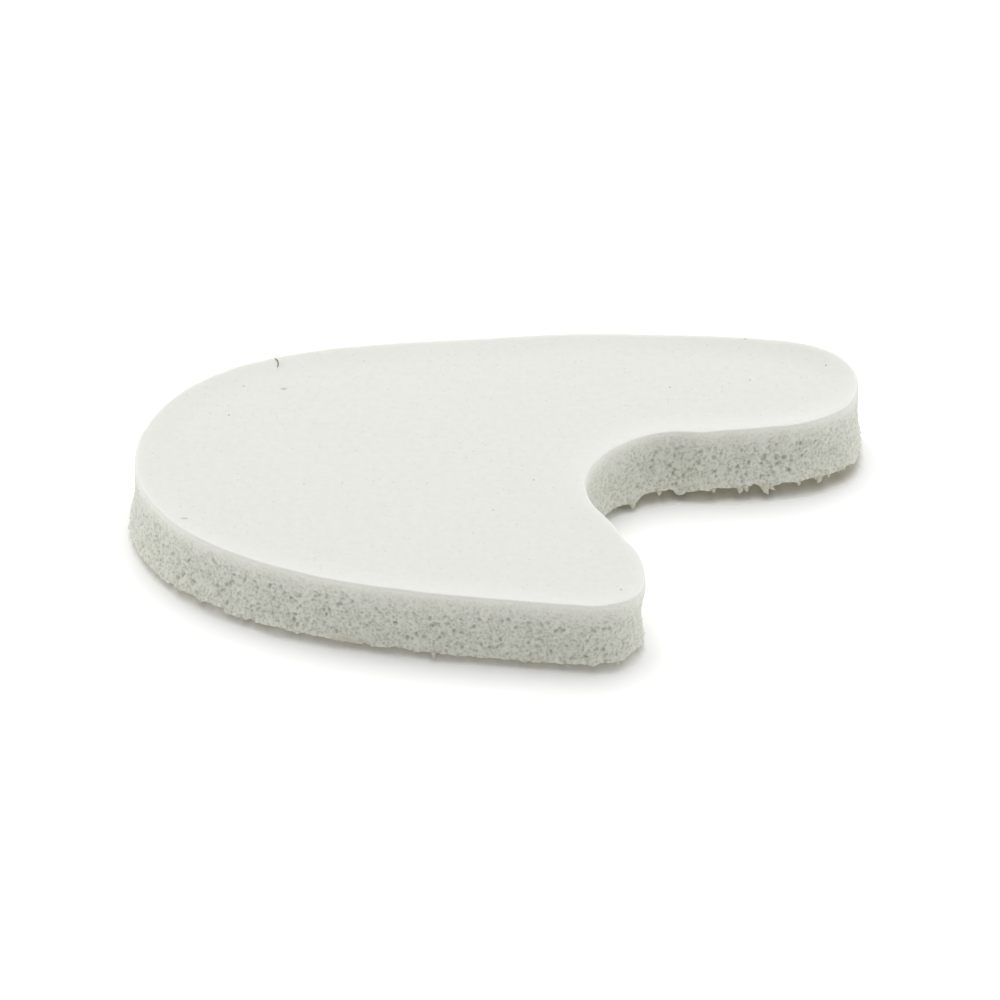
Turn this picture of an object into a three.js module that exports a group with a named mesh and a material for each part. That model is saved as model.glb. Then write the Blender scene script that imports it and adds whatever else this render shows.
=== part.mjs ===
// Foam toe separator pad: a flat die-cut pad of white latex foam with a U-shaped notch between a
// long wing and a short lobe. Its underside carries a thin film of adhesive.
//
// Millimetres. X runs along the pad towards the tip of the wing, Y across it towards the far edge,
// and Z up. The origin is on the resting surface, under the middle of the pad's outline.

import * as THREE from 'three';
import { mergeVertices } from 'three/addons/utils/BufferGeometryUtils.js';

// Outline, seen from above
const PAD_LENGTH = 70;
const PAD_WIDTH = 49.8;
const HEEL_RADIUS = 19.8;
const LOBE_RADIUS = 4.9;
const NOTCH_RADIUS = 9.65;
const WING_RADIUS = 7.8;
const CREST_RADIUS = 50;
const NOTCH_DEPTH = 26.75; // from the tip of the wing to the root of the notch
const WING_WIDTH = 18.6; // from the far edge to the notch
const LOBE_REACH = 5.3; // from the root of the notch to the side of the lobe

// Section
const FOAM_THICKNESS = 6.75;
const FILM_THICKNESS = 0.25;
const TOP_EDGE_ROUND = 0.4; // the skin is pressed round where the die comes through it
const WAIST_DEPTH = 0.25; // the cut wall pulls in at half its height

// The rim stands a little clear of the surface, and more so at the tip of the wing
const RIM_BAND = 4;
const RIM_LIFT = 0.6;
const WING_TIP_LIFT = 1.2;
const SKIN_LIFT_SHARE = 0.7; // how much of that lift the skin on top follows

// Spacing of the points on the outline
const BLEND_STEP = 2.2;

// Places across the rim band, as shares of its width from the rim inwards
const BAND_SHARES = [0.15, 0.35, 0.6, 1];
const WALL_STEPS = 6;
const EDGE_STEPS = 3;

const notchRoot = PAD_LENGTH / 2 - NOTCH_DEPTH;
const wingInnerEdge = PAD_WIDTH / 2 - WING_WIDTH;

// The rounds of the outline, anticlockwise. Angles are in degrees from the X axis. Heel, lobe, wing
// and crest are bulges that touch the four sides of the pad, and the notch is a hollow, so its arc
// runs clockwise. The remaining places are shares of the pad's length or width.
const rounds = [
  {
    name: 'heel',
    radius: HEEL_RADIUS,
    x: HEEL_RADIUS - PAD_LENGTH / 2,
    y: 0.034 * PAD_WIDTH,
    from: 116,
    to: 212,
    step: 8,
  },
  {
    name: 'lobe',
    radius: LOBE_RADIUS,
    x: notchRoot + LOBE_REACH - LOBE_RADIUS,
    y: LOBE_RADIUS - PAD_WIDTH / 2,
    from: 262,
    to: 358,
    step: 8,
  },
  {
    name: 'notch',
    radius: NOTCH_RADIUS,
    x: notchRoot + NOTCH_RADIUS,
    y: wingInnerEdge - NOTCH_RADIUS,
    from: 210,
    to: 90,
    step: -8,
  },
  {
    name: 'wing',
    radius: WING_RADIUS,
    x: PAD_LENGTH / 2 - WING_RADIUS,
    y: 0.303 * PAD_WIDTH,
    from: -72,
    to: 72,
    step: 8,
  },
  {
    name: 'crest',
    radius: CREST_RADIUS,
    x: 0.129 * PAD_LENGTH,
    y: PAD_WIDTH / 2 - CREST_RADIUS,
    from: 86,
    to: 98,
    step: 2,
  },
];

// An arc as points with the direction of travel at each of them
function arc({ radius, x, y, from, to, step }) {
  const count = Math.round((to - from) / step);
  const sense = Math.sign(step);
  return Array.from({ length: count + 1 }, (_, i) => {
    const angle = THREE.MathUtils.degToRad(from + i * step);
    const outwards = new THREE.Vector2(Math.cos(angle), Math.sin(angle));
    const point = outwards.clone().multiplyScalar(radius).add(new THREE.Vector2(x, y));
    const travel = new THREE.Vector2(-outwards.y, outwards.x).multiplyScalar(sense);
    return { point, travel };
  });
}

// A smooth blend from the end of one arc to the start of the next: a cubic curve whose handles
// are a third of the gap long and lie along the arcs
function blend(end, start) {
  const gap = end.point.distanceTo(start.point);
  const curve = new THREE.CubicBezierCurve(
    end.point,
    end.point.clone().addScaledVector(end.travel, gap / 3),
    start.point.clone().addScaledVector(start.travel, -gap / 3),
    start.point,
  );
  const count = Math.max(2, Math.round(gap / BLEND_STEP));
  return Array.from({ length: count - 1 }, (_, i) => {
    const t = (i + 1) / count;
    return { point: curve.getPoint(t), travel: curve.getTangent(t) };
  });
}

function outlineOf(list) {
  const arcs = list.map(arc);
  return arcs.flatMap((points, i) => {
    const next = arcs[(i + 1) % arcs.length];
    return [...points, ...blend(points.at(-1), next[0])];
  });
}

const outline = outlineOf(rounds);

// The tightest bulge of the outline, from how far it turns between the neighbours of each point
function tightestBulge(points) {
  const radii = points.map((_, i) => {
    const before = points.at(i - 1);
    const after = points[(i + 1) % points.length];
    const turn = before.travel.cross(after.travel) / 2;
    const length = before.point.distanceTo(after.point) / 2;
    return turn > 0 ? length / turn : Infinity;
  });
  return Math.min(...radii);
}

// Bands run inwards from the rim, so they are limited by the tightest bulge, as a fillet is
const rimBand = Math.min(RIM_BAND, 0.85 * tightestBulge(outline));

// How far the rim stands up at a place: along the notch it grows towards the tip of the wing
function rimLift(x) {
  const share = THREE.MathUtils.smoothstep(x, notchRoot, PAD_LENGTH / 2);
  return THREE.MathUtils.lerp(RIM_LIFT, WING_TIP_LIFT, share);
}

// The lift fades to nothing across the band, as the square of what is left of the band
function lift(x, inset) {
  const left = Math.max(0, 1 - inset / rimBand);
  return rimLift(x) * left * left;
}

// A closed line at a given inset from the outline, with a height for each of its points
function ring(inset, heightAt) {
  return outline.map(({ point, travel }) => {
    const x = point.x - travel.y * inset;
    const y = point.y + travel.x * inset;
    return new THREE.Vector3(x, y, heightAt(point.x, inset));
  });
}

// Triangles between two rings: they face outwards where the second ring lies above the first one,
// and up where it lies inside it
function strip(first, second) {
  return first.flatMap((corner, i) => {
    const next = (i + 1) % first.length;
    return [
      [corner, first[next], second[next]],
      [corner, second[next], second[i]],
    ];
  });
}

// A sheet facing up: a flat middle, then bands out to a rim at the given inset
function sheet(heightAt, rimInset) {
  const insets = [rimInset, ...BAND_SHARES.map((share) => share * rimBand).filter((d) => d > rimInset)];
  const rings = insets.map((inset) => ring(inset, heightAt));
  const middle = rings.at(-1);
  const corners = THREE.ShapeUtils.triangulateShape(middle, []);
  const flat = corners.map(([a, b, c]) => [middle[a], middle[b], middle[c]]);
  const bands = rings.slice(1).flatMap((inner, i) => strip(rings[i], inner));
  return [...flat, ...bands];
}

function flipped(triangles) {
  return triangles.map(([a, b, c]) => [a, c, b]);
}

function stripsBetween(rings) {
  return rings.slice(1).flatMap((upper, i) => strip(rings[i], upper));
}

function piece(name, triangles, look) {
  const loose = new THREE.BufferGeometry();
  loose.setFromPoints(triangles.flat());
  const geometry = mergeVertices(loose);
  geometry.computeVertexNormals();
  const mesh = new THREE.Mesh(geometry, new THREE.MeshStandardMaterial(look));
  mesh.name = name;
  return mesh;
}

const filmUnderside = (x, inset) => lift(x, inset);
const filmTop = (x, inset) => FILM_THICKNESS + lift(x, inset);
const foamTop = (x, inset) => FILM_THICKNESS + FOAM_THICKNESS + SKIN_LIFT_SHARE * lift(x, inset);

// The film covers the whole underside of the foam and ends flush with it
function adhesiveFilm() {
  const triangles = [
    ...flipped(sheet(filmUnderside, 0)),
    ...strip(ring(0, filmUnderside), ring(0, filmTop)),
    ...sheet(filmTop, 0),
  ];
  return piece('adhesive_film', triangles, { color: 0xdccfa8, roughness: 0.45, metalness: 0 });
}

// The cut wall rises from the film to the rounded top edge, and pulls in to a waist on its way
function wallRings() {
  const wallTop = (x) => foamTop(x, 0) - TOP_EDGE_ROUND;
  return Array.from({ length: WALL_STEPS + 1 }, (_, i) => {
    const share = i / WALL_STEPS;
    const inset = WAIST_DEPTH * Math.sin(Math.PI * share);
    return ring(inset, (x) => THREE.MathUtils.lerp(filmTop(x, 0), wallTop(x), share));
  });
}

// A quarter round from the wall into the skin
function edgeRings() {
  return Array.from({ length: EDGE_STEPS }, (_, i) => {
    const angle = ((i + 1) / EDGE_STEPS) * (Math.PI / 2);
    const inset = TOP_EDGE_ROUND * (1 - Math.cos(angle));
    const drop = TOP_EDGE_ROUND * (1 - Math.sin(angle));
    return ring(inset, (x) => foamTop(x, inset) - drop);
  });
}

function foamPad() {
  const triangles = [
    ...flipped(sheet(filmTop, 0)),
    ...stripsBetween([...wallRings(), ...edgeRings()]),
    ...sheet(foamTop, TOP_EDGE_ROUND),
  ];
  return piece('foam_pad', triangles, { color: 0xe8e8e2, roughness: 0.95, metalness: 0 });
}

const pad = new THREE.Group();
pad.add(foamPad(), adhesiveFilm());

export default pad;
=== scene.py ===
# %% [markdown]
# # A foam toe separator pad
# The real object is a small slab of white latex foam, stamped out with a die. It has a smooth closed
# skin on top, a cut wall that shows the open cells, and a film of adhesive underneath.
# The solid model is loaded first. It is a fixed frame: every surface below takes its place and its
# size from it, so nothing has to be fitted afterwards. Blender works in metres. The arrays in this
# lesson are in millimetres, because that is how such a pad is measured, and become metres at the end.

# %% Load the frame and read its sizes
import bpy
import numpy as np
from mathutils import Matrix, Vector
from mathutils.geometry import delaunay_2d_cdt


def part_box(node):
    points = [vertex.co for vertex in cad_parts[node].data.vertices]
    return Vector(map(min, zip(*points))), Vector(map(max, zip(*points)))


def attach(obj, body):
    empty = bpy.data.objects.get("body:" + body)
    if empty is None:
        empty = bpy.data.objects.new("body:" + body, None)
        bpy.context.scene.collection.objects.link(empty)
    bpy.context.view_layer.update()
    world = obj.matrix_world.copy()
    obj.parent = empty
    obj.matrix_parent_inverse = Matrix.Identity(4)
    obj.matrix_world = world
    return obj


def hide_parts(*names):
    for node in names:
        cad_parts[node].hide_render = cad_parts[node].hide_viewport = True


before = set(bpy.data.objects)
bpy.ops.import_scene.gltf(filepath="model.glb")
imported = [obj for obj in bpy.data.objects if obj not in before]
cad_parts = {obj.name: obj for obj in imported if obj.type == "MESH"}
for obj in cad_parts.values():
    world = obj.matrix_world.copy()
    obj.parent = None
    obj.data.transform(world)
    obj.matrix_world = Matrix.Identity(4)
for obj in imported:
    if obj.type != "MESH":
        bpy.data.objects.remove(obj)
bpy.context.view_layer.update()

# One millimetre in metres
MM = 0.001
foam_low, foam_high = (np.array(corner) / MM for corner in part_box("foam_pad"))
PAD_LENGTH, PAD_WIDTH = (foam_high - foam_low)[:2]
print("pad", PAD_LENGTH.round(2), "by", PAD_WIDTH.round(2), "mm, top at", foam_high[2].round(2), "mm")

# %% [markdown]
# ## Camera, light and table
# The photograph looks down on the pad at 32 degrees with a long lens. Its white table burns out, its
# shadows end within a few millimetres of the pad, and both ends of the pad are lighter than its
# front. So most of the light comes from one large softbox, high up and a little behind the pad. Two
# weak ones low on the left and the right light the ends, and an even white sky fills in the rest.

# %% Set up the camera
# The tilt is in degrees, the sensor's width in millimetres and everything else in metres
CAMERA_TILT = 32.0
CAMERA_DISTANCE = 0.817
VIEW_WIDTH = 0.0963
SENSOR_WIDTH = 36.0
NEAREST_SEEN = 0.01
LOOK_AT = Vector((0.00012, 0.00569, -0.00009))

scene = bpy.context.scene
tilt = np.radians(CAMERA_TILT)
camera_data = bpy.data.cameras.new("camera")
camera_data.sensor_width = SENSOR_WIDTH
camera_data.lens = SENSOR_WIDTH * CAMERA_DISTANCE / VIEW_WIDTH
camera_data.clip_start = NEAREST_SEEN
camera = bpy.data.objects.new("camera", camera_data)
camera.location = LOOK_AT + CAMERA_DISTANCE * Vector((0, -np.cos(tilt), np.sin(tilt)))
camera.rotation_euler = (np.pi / 2 - tilt, 0, 0)
scene.collection.objects.link(camera)
scene.camera = camera
print("lens", round(camera_data.lens, 1), "mm")

# %% Set up the light and the table
# Each softbox: name, place, size in metres, power in watts
SOFTBOXES = (
    ("overhead", Vector((-0.03, 0.23, 0.71)), 0.95, 6.7),
    ("left", Vector((-0.8, 0.1, 0.25)), 0.5, 1.1),
    ("right", Vector((0.8, 0.0, 0.25)), 0.5, 1.0),
)
SKY_STRENGTH = 0.45
TABLE_COLOUR = (0.94, 0.94, 0.938, 1)
TABLE_ROUGHNESS = 0.6
TABLE_HALF_WIDTH = 3.0


def add_softbox(name, place, size, watts):
    """A square soft light that looks at the pad."""
    data = bpy.data.lights.new(name, "AREA")
    data.size = size
    data.energy = watts
    light = bpy.data.objects.new(name, data)
    light.location = place
    light.rotation_euler = (-place).to_track_quat("-Z", "Y").to_euler()
    scene.collection.objects.link(light)


def plain_material(name, colour, roughness):
    """A material with its shader's own sockets set, and nothing linked yet."""
    material = bpy.data.materials.new(name)
    material.use_nodes = True
    shader = material.node_tree.nodes["Principled BSDF"]
    shader.inputs["Base Color"].default_value = colour
    shader.inputs["Roughness"].default_value = roughness
    return material


for softbox in SOFTBOXES:
    add_softbox(*softbox)

sky = bpy.data.worlds.new("sky")
sky.use_nodes = True
background = sky.node_tree.nodes["Background"]
background.inputs["Strength"].default_value = SKY_STRENGTH
background.inputs["Color"].default_value = (1, 1, 1, 1)
scene.world = sky
scene.view_settings.view_transform = "Standard"

table_mesh = bpy.data.meshes.new("table")
near, far = -TABLE_HALF_WIDTH, TABLE_HALF_WIDTH
table_corners = [(near, near, 0), (far, near, 0), (far, far, 0), (near, far, 0)]
table_mesh.from_pydata(table_corners, [], [(0, 1, 2, 3)])
table_mesh.materials.append(plain_material("table_white", TABLE_COLOUR, TABLE_ROUGHNESS))
table = bpy.data.objects.new("table", table_mesh)
scene.collection.objects.link(table)

# %% [markdown]
# ## The outline
# A die for such a pad is bent from one steel strip, so its outline is made of rounds with smooth
# runs between them: a heel, a lobe, the notch, a wing and the crest of the far edge. It could be
# drawn by hand as a curve. Rounds are used here because each has a radius that can be measured, and
# the runs between them then follow by themselves.

# %% Draw the outline from its rounds
HEEL_RADIUS = 19.8
LOBE_RADIUS = 4.9
NOTCH_RADIUS = 9.65
WING_RADIUS = 7.8
CREST_RADIUS = 50.0
NOTCH_DEPTH = 26.75
WING_WIDTH = 18.6
LOBE_REACH = 5.3
# Three places aren't fixed by a side of the pad: they are shares of its width or its length
HEEL_SHARE_UP = 0.034
WING_SHARE_UP = 0.303
CREST_SHARE_ALONG = 0.129
ARC_POINTS = 60
COLUMNS = 1792

notch_root = PAD_LENGTH / 2 - NOTCH_DEPTH
wing_inner_edge = PAD_WIDTH / 2 - WING_WIDTH


def turned_left(way):
    """The same directions turned a quarter left."""
    return np.stack([-way[..., 1], way[..., 0]], axis=-1)


def arc(x, y, radius, start, stop):
    """Points at the centre plus the radius times (cos, sin) of the angle, and the way they run."""
    angle = np.radians(np.linspace(start, stop, ARC_POINTS))
    out = np.stack([np.cos(angle), np.sin(angle)], axis=-1)
    run = np.sign(stop - start) * turned_left(out)
    return np.array([x, y]) + radius * out, run


def smooth_run(end, end_run, start, start_run):
    """A cubic curve between two arcs, with handles a third of the gap long that lie along them."""
    reach = np.linalg.norm(start - end) / 3
    t = np.linspace(0, 1, ARC_POINTS + 2)[1:-1, None]
    first, last = end + reach * end_run, start - reach * start_run
    middle = 3 * (1 - t) ** 2 * t * first + 3 * (1 - t) * t**2 * last
    return (1 - t) ** 3 * end + middle + t**3 * start


def closed_outline(rounds):
    """All arcs in turn, each followed by the smooth run to the next one."""
    arcs = [arc(*values) for values in rounds]
    after = arcs[1:] + arcs[:1]
    runs = [smooth_run(a[0][-1], a[1][-1], b[0][0], b[1][0]) for a, b in zip(arcs, after)]
    return np.concatenate([part for a, run in zip(arcs, runs) for part in (a[0], run)])


def even_steps(line, count):
    """The closed line again with evenly spaced points, and its length."""
    closed = np.vstack([line, line[:1]])
    length = np.concatenate([[0], np.cumsum(np.linalg.norm(np.diff(closed, axis=0), axis=1))])
    at = np.linspace(0, length[-1], count, endpoint=False)
    return np.stack([np.interp(at, length, closed[:, k]) for k in (0, 1)], axis=-1), length[-1]


# Each round: x and y of its centre, its radius, and the angles where it starts and stops, in degrees
rounds = [
    (HEEL_RADIUS - PAD_LENGTH / 2, HEEL_SHARE_UP * PAD_WIDTH, HEEL_RADIUS, 116, 212),
    (notch_root + LOBE_REACH - LOBE_RADIUS, LOBE_RADIUS - PAD_WIDTH / 2, LOBE_RADIUS, 262, 358),
    (notch_root + NOTCH_RADIUS, wing_inner_edge - NOTCH_RADIUS, NOTCH_RADIUS, 210, 90),
    (PAD_LENGTH / 2 - WING_RADIUS, WING_SHARE_UP * PAD_WIDTH, WING_RADIUS, -72, 72),
    (CREST_SHARE_ALONG * PAD_LENGTH, PAD_WIDTH / 2 - CREST_RADIUS, CREST_RADIUS, 86, 98),
]
edge, perimeter = even_steps(closed_outline(rounds), COLUMNS)
print("perimeter", round(perimeter, 1), "mm, a column every", round(perimeter / COLUMNS, 3), "mm")

# %% [markdown]
# A hand-fed die never cuts a perfectly clean line, because the foam gives under it. The outline gets
# a slight waver: a few slow waves round the pad, added up with random phases. The outward direction
# is taken from the line before that, so that lines moved inwards from it don't fold at tight bends.

# %% Give the outline its waver
WAVER_DEPTH = 0.05
WAVER_SPREAD = 0.7
WAVES = np.array([9, 14, 23, 37, 61])
rng = np.random.default_rng(41)


def outwards_of(line):
    """The outward normal: the line's own direction turned a quarter right."""
    run = np.roll(line, -1, axis=0) - np.roll(line, 1, axis=0)
    run /= np.linalg.norm(run, axis=1, keepdims=True)
    return -turned_left(run)


station = np.arange(COLUMNS) * perimeter / COLUMNS
phase = 2 * np.pi * rng.random(len(WAVES))
waves = np.sin(2 * np.pi * WAVES * station[:, None] / perimeter + phase)
waver = waves.sum(axis=1) / np.sqrt(len(WAVES))
outward = outwards_of(edge)
edge = edge + WAVER_DEPTH * (WAVER_SPREAD * waver - 1)[:, None] * outward
print("waver", round(float(np.abs(waver).max() * WAVER_DEPTH), 3), "mm")

# %% [markdown]
# ## The section
# The pad doesn't lie quite flat. The knife drags the rim up a little, and the tip of the wing more,
# so a dark gap shows under the wall. The lift fades out over a band of 4 mm as a square. The same
# rule shapes the film, the underside of the foam and the skin, so the layers stay parallel.

# %% Write down the section
FOAM_THICKNESS = 6.75
FILM_THICKNESS = 0.25
TOP_EDGE_ROUND = 0.4
RIM_BAND = 4.0
RIM_LIFT = 0.6
WING_TIP_LIFT = 1.2
SKIN_LIFT_SHARE = 0.7


def smooth(value, low, high):
    """0 below low and 1 above high, with a soft S between them."""
    t = np.clip((value - low) / (high - low), 0, 1)
    return t * t * (3 - 2 * t)


def lift(x, inset):
    """The rim's lift at x, times the square of the share of the band that is left."""
    rim = RIM_LIFT + (WING_TIP_LIFT - RIM_LIFT) * smooth(x, notch_root, PAD_LENGTH / 2)
    return rim * np.clip(1 - inset / RIM_BAND, 0, 1) ** 2


def inset_line(inset):
    """The outline moved inwards: one row of points for each inset, or an inset for each point."""
    return edge - np.asarray(inset, float)[..., None] * outward


def raised(flat, height):
    """Flat points with a height added as their third coordinate."""
    height = np.broadcast_to(height, flat.shape[:-1])
    return np.concatenate([flat, height[..., None]], axis=-1)


rim_x = edge[:, 0]
print("rim lift", lift(rim_x, 0).min().round(2), "to", lift(rim_x, 0).max().round(2), "mm")

# %% [markdown]
# ## Open cells on the cut wall
# Cutting opens the bubbles of the foam, so the wall is a field of small pits of many sizes, with thin
# webs between them. They could be a bump in the material only, but then the wall's outline would stay
# clean. Here each pit is a bowl in the mesh: the wall is divided into squares, each square has
# one pit at a random place, and every point of the wall takes the deepest pit that covers it.

# %% Make a field of random values
def soft_noise(across, up, pitch, rng):
    """Random values on a grid of that pitch, with a soft S between neighbours. It closes on itself."""
    count = max(2, int(round(perimeter / pitch)))
    rows = int(np.ceil(np.max(up) / pitch)) + 3
    values = rng.random((count, rows)) * 2 - 1
    u, v = across / perimeter * count, np.clip(up / pitch, 0, rows - 2)
    i, j = np.floor(u).astype(int), np.floor(v).astype(int)
    a, b = smooth(u - i, 0, 1), smooth(v - j, 0, 1)
    left, right = i % count, (i + 1) % count
    low = values[left, j] * (1 - a) + values[right, j] * a
    high = values[left, j + 1] * (1 - a) + values[right, j + 1] * a
    return low * (1 - b) + high * b


# %% Make a field of pits
PIT_SIZE_POWER = 1.6
LEAST_SQUASH, SQUASH_SPREAD = 0.85, 0.35
NO_RADIUS = 1e-6


def pits(across, up, pitch, radii, share, rng):
    """The deepest bowl over each point: its radius times the root of 1 - (distance / radius)^2."""
    count = int(round(perimeter / pitch))
    rows = int(np.ceil(np.max(up) / pitch)) + 1
    width = perimeter / count
    middle = rng.random((2, count, rows))
    radius = radii[0] + (radii[1] - radii[0]) * rng.random((count, rows)) ** PIT_SIZE_POWER
    radius = radius * (rng.random((count, rows)) < share)
    squash = LEAST_SQUASH + SQUASH_SPREAD * rng.random((count, rows))
    i, j = np.floor(across / width).astype(int), np.floor(up / pitch).astype(int)
    deepest = np.zeros(np.broadcast(across, up).shape)
    for right in (-1, 0, 1):
        for above in (-1, 0, 1):
            column, row = (i + right) % count, np.clip(j + above, 0, rows - 1)
            away = (i + right + middle[0][column, row]) * width - across
            over = (j + above + middle[1][column, row]) * pitch - up
            r = radius[column, row] * ((j + above >= 0) & (j + above < rows))
            s = squash[column, row]
            inside = 1 - ((away * s) ** 2 + (over / s) ** 2) / np.maximum(r, NO_RADIUS) ** 2
            deepest = np.maximum(deepest, r * np.sqrt(np.clip(inside, 0, 1)))
    return deepest


# %% [markdown]
# The wall is a grid: columns along the outline and rows up the wall. The knife presses the skin round
# before it cuts, so the last rows go over into the skin in a quarter of a tall ellipse. Below that the
# wall pulls in to a waist, because foam springs back after the cut.

# %% Lay out the rows of the wall
WALL_ROWS = 36
ROUND_ROWS = 12
ROUND_DROP = 1.6
WAIST_DEPTH = 0.2
WAIST_SKEW = 0.75

turn = np.linspace(0, np.pi / 2, ROUND_ROWS + 1)[1:, None]
share_up = np.vstack([np.linspace(0, 1, WALL_ROWS)[:, None], np.ones((ROUND_ROWS, 1))])
round_inset = np.vstack([np.zeros((WALL_ROWS, 1)), TOP_EDGE_ROUND * (1 - np.cos(turn))])
round_drop = np.vstack([np.full((WALL_ROWS, 1), ROUND_DROP), ROUND_DROP * (1 - np.sin(turn))])

foot = FILM_THICKNESS + lift(rim_x, 0)
top = FILM_THICKNESS + FOAM_THICKNESS + SKIN_LIFT_SHARE * lift(rim_x, round_inset)
up = share_up * (top - round_drop - foot)
wall_height = up[-1]
below_skin = np.maximum(wall_height - up, 0)
waist = WAIST_DEPTH * np.sin(np.pi * (below_skin / wall_height) ** WAIST_SKEW)
across = np.broadcast_to(station, up.shape)
print("wall", up.shape[0], "rows, up to", wall_height.max().round(2), "mm high")

# %% [markdown]
# Near the skin the cells are fine and closed. Half way down they are largest. On the faces that look
# towards the tip of the wing the knife has smeared them half shut. At the foot it has torn the foam,
# so small tufts stand out.

# %% Say where the cells are open
CLOSED_DEPTH = 0.3
OPEN_DEPTH = 2.2
FOOT_CLOSING = 0.38
FOOT_CLOSED_HEIGHT = 1.4
SMEAR = 0.6

faces_right = smooth(outward[:, 0], 0.3, 0.9)
openness = smooth(below_skin, CLOSED_DEPTH, OPEN_DEPTH) * (1 - SMEAR * faces_right)
openness = openness * (1 - FOOT_CLOSING + FOOT_CLOSING * smooth(up, 0, FOOT_CLOSED_HEIGHT))

# %% Press the pits into the wall
# Each field: the side of its squares, the least and largest radius, and the share that has a pit
LARGE_PITS = (0.55, (0.1, 0.25), 0.55)
SMALL_PITS = (0.3, (0.05, 0.13), 0.8)
LARGE_PIT_DEPTH = 1.35
CLOSED_PIT_DEPTH = 0.25
PIT_FLATNESS = 0.6
PIT_BEND = 0.07
BEND_PITCH = 0.3
FIELD_MARGIN = 0.2
SEEN_DEPTH = 0.03

rng = np.random.default_rng(7)
bent_across = np.mod(across + PIT_BEND * soft_noise(across, up, BEND_PITCH, rng), perimeter)
bent_up = up + PIT_BEND * soft_noise(across, up, BEND_PITCH, rng) + FIELD_MARGIN
large = pits(bent_across, bent_up, *LARGE_PITS, rng)
small = pits(bent_across, bent_up, *SMALL_PITS, rng)
closed_cells = CLOSED_PIT_DEPTH * small * (1 - openness) * smooth(below_skin, 0, 2 * CLOSED_DEPTH)
pit_depth = PIT_FLATNESS * (openness * np.maximum(LARGE_PIT_DEPTH * large, small) + closed_cells)
covered = (pit_depth > SEEN_DEPTH).mean()
print("pits cover", round(float(covered) * 100), "% of the wall, deepest", pit_depth.max().round(2), "mm")

# %% Roughen the wall between the pits
# Each grain: its pitch and its height
GRAINS = ((0.24, 0.05), (0.9, 0.06))
TUFT_PITCH = 0.45
TUFT_REACH = 0.18
TUFT_FADE = 0.6

grain = sum(height * soft_noise(across, up, pitch, rng) for pitch, height in GRAINS)
tufts = np.clip(soft_noise(across, up, TUFT_PITCH, rng), 0, 1) * np.exp(-up / TUFT_FADE)

# %% [markdown]
# The foot of the wall hangs in arches with points between them, where the foam tore away from the
# adhesive. The widest ones are on the wing. They are listed, and shallow ones made from noise
# fill the rest: the absolute value of a wave that changes sign has just such arches and points.

# %% List the arches and the drips
# Each arch: where it starts and stops along the pad, its height, and which forward face it is on
ARCHES = (
    (12.4, 17.2, 0.45, "wing"),
    (17.5, 22.8, 0.25, "wing"),
    (23.8, 25.2, 0.35, "wing"),
    (26.3, 28.3, 0.35, "wing"),
    (28.8, 30.4, 0.3, "wing"),
    (-29.7, -27.8, 0.4, "front"),
    (-27.6, -25.2, 0.5, "front"),
    (-23.4, -22.4, 0.3, "front"),
    (-21.2, -19.4, 0.3, "front"),
    (11.4, 13.2, 0.45, "front"),
)
# Each drip: the same values for a place where foam was pulled down
DRIPS = (
    (11.7, 12.9, 0.3, "wing"),
    (16.6, 18.0, 0.4, "wing"),
    (24.9, 26.1, 0.2, "wing"),
)

# %% Make the tools that place them
ARCH_ROUNDNESS = 0.6
# The y that parts the wing's forward face from the front, and the least that a face looks forward
NOTCH_LEVEL = -1.0
LEAST_FORWARD = 0.2


def column_at(x, side):
    """The column of the outline nearest to x, on its forward faces: below or above the notch."""
    on_side = edge[:, 1] > NOTCH_LEVEL if side == "wing" else edge[:, 1] < NOTCH_LEVEL
    usable = on_side & (outward[:, 1] < -LEAST_FORWARD)
    return int(np.where(usable, np.abs(edge[:, 0] - x), np.inf).argmin())


def arch_over(start, stop, height, side):
    """The height times a power of the sine of the share of the way from start to stop."""
    first, last = station[column_at(start, side)], station[column_at(stop, side)]
    share = np.clip((station - first) / (last - first), 0, 1)
    return height * np.sin(np.pi * share) ** ARCH_ROUNDNESS


def waves_along(waves, rng):
    """Soft noise along the foot, added up from waves that each have a pitch and a height."""
    level = np.zeros(COLUMNS)
    return sum(height * soft_noise(station, level, pitch, rng) for pitch, height in waves)


# %% Tear the foot of the wall
# Each wave along the foot: its pitch and its height
TORN_WAVES = ((0.4, 0.09), (1.1, 0.063))
SMALL_ARCHES = ((1.9, 0.25),)

torn = waves_along(TORN_WAVES, rng)
arches = np.abs(waves_along(SMALL_ARCHES, rng))
for arch_row in ARCHES:
    arches = np.maximum(arches, arch_over(*arch_row))
for drip in DRIPS:
    arches = arches - arch_over(*drip)

# %% [markdown]
# Soft foam bulges away under the knife. So the wall flares out at the foot, bulges where it looks
# forward and at the root of the notch, and leans out at the top of the lobe's side. Each of these is
# a mask along the outline, 1 on its part and 0 elsewhere, times a reach in millimetres.

# %% Say which part of the outline is where
# Each mask goes from 0 to 1 between two places in mm, or two values of the outward direction
forward = smooth(-outward[:, 1], 0, 0.7)
on_wing = forward * smooth(rim_x, notch_root, notch_root + 5) * smooth(edge[:, 1], -4, 2)
on_left = smooth(-rim_x, 12, 22) * smooth(-outward[:, 1], -0.3, 0.4)
in_notch = faces_right * smooth(edge[:, 1], -14, -9) * smooth(-rim_x, -20, -14)
on_lobe = faces_right * smooth(-edge[:, 1], 12, 16)

# %% Shape the wall
FRONT_RISE = 0.08
WING_RISE = 0.08
FOOT_FADE = 0.9
FRONT_FLARE = 0.1
LEFT_FLARE = 0.6
WING_FLARE = 0.7
FLARE_FADE = 1.8
FRONT_BULGE = 0.2
WING_BULGE = 0.25
ROOT_BULGE = 0.3
LOBE_LIP = 0.45
LIP_FADE = 2.0
# Where the wing bulges further: place along the pad, half length and reach
WING_SWELLS = ((19.6, 1.5, 0.35), (28.4, 1.8, 0.2))

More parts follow.
